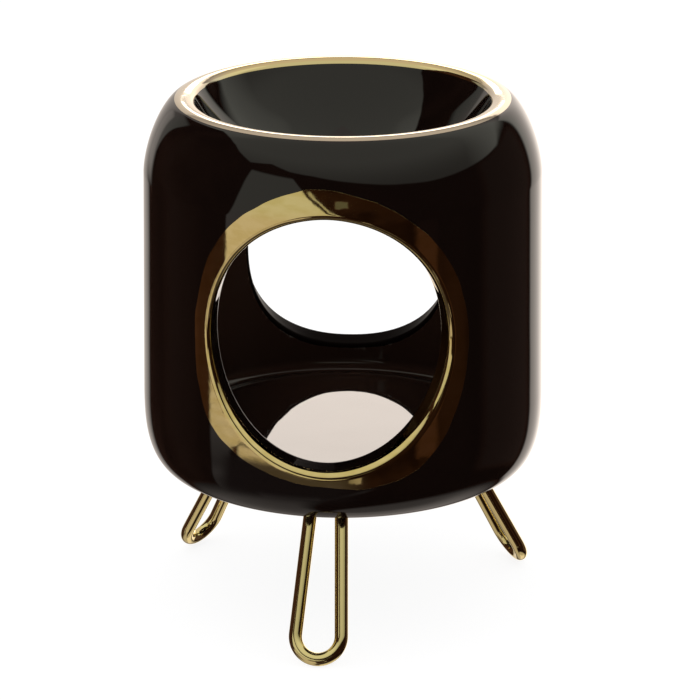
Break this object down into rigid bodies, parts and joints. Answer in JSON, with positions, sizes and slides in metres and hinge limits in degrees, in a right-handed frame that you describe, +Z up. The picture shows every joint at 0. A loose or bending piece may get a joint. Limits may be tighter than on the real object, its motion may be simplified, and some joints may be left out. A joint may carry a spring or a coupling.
{
  "type": "ceramic aroma lamp",
  "caption": "Candle-heated aroma lamp: glazed ceramic body with a bowl on top, an open candle chamber and bent wire legs.",
  "frame": {"origin": "on the table, under the axis of the round body", "axes": "+Z up, -Y out of the front opening, +X to the right as seen from the front"},
  "size_m": [0.0968, 0.0984, 0.1268],
  "materials": {
    "glaze": "gloss black-brown glaze",
    "lustre": "bright fired gold lustre, hand painted",
    "wire": "polished brass-plated wire",
    "cement": "matt set adhesive cement"
  },
  "bodies": {
    "root": {"ceramic_body": "glaze", "rim_lustre": "lustre", "front_opening_lustre": "lustre", "back_opening_lustre": "lustre", "leg_front": "wire", "leg_right": "wire", "leg_left": "wire", "leg_cement_front": "cement", "leg_cement_right": "cement", "leg_cement_left": "cement"}
  },
  "joints": []
}
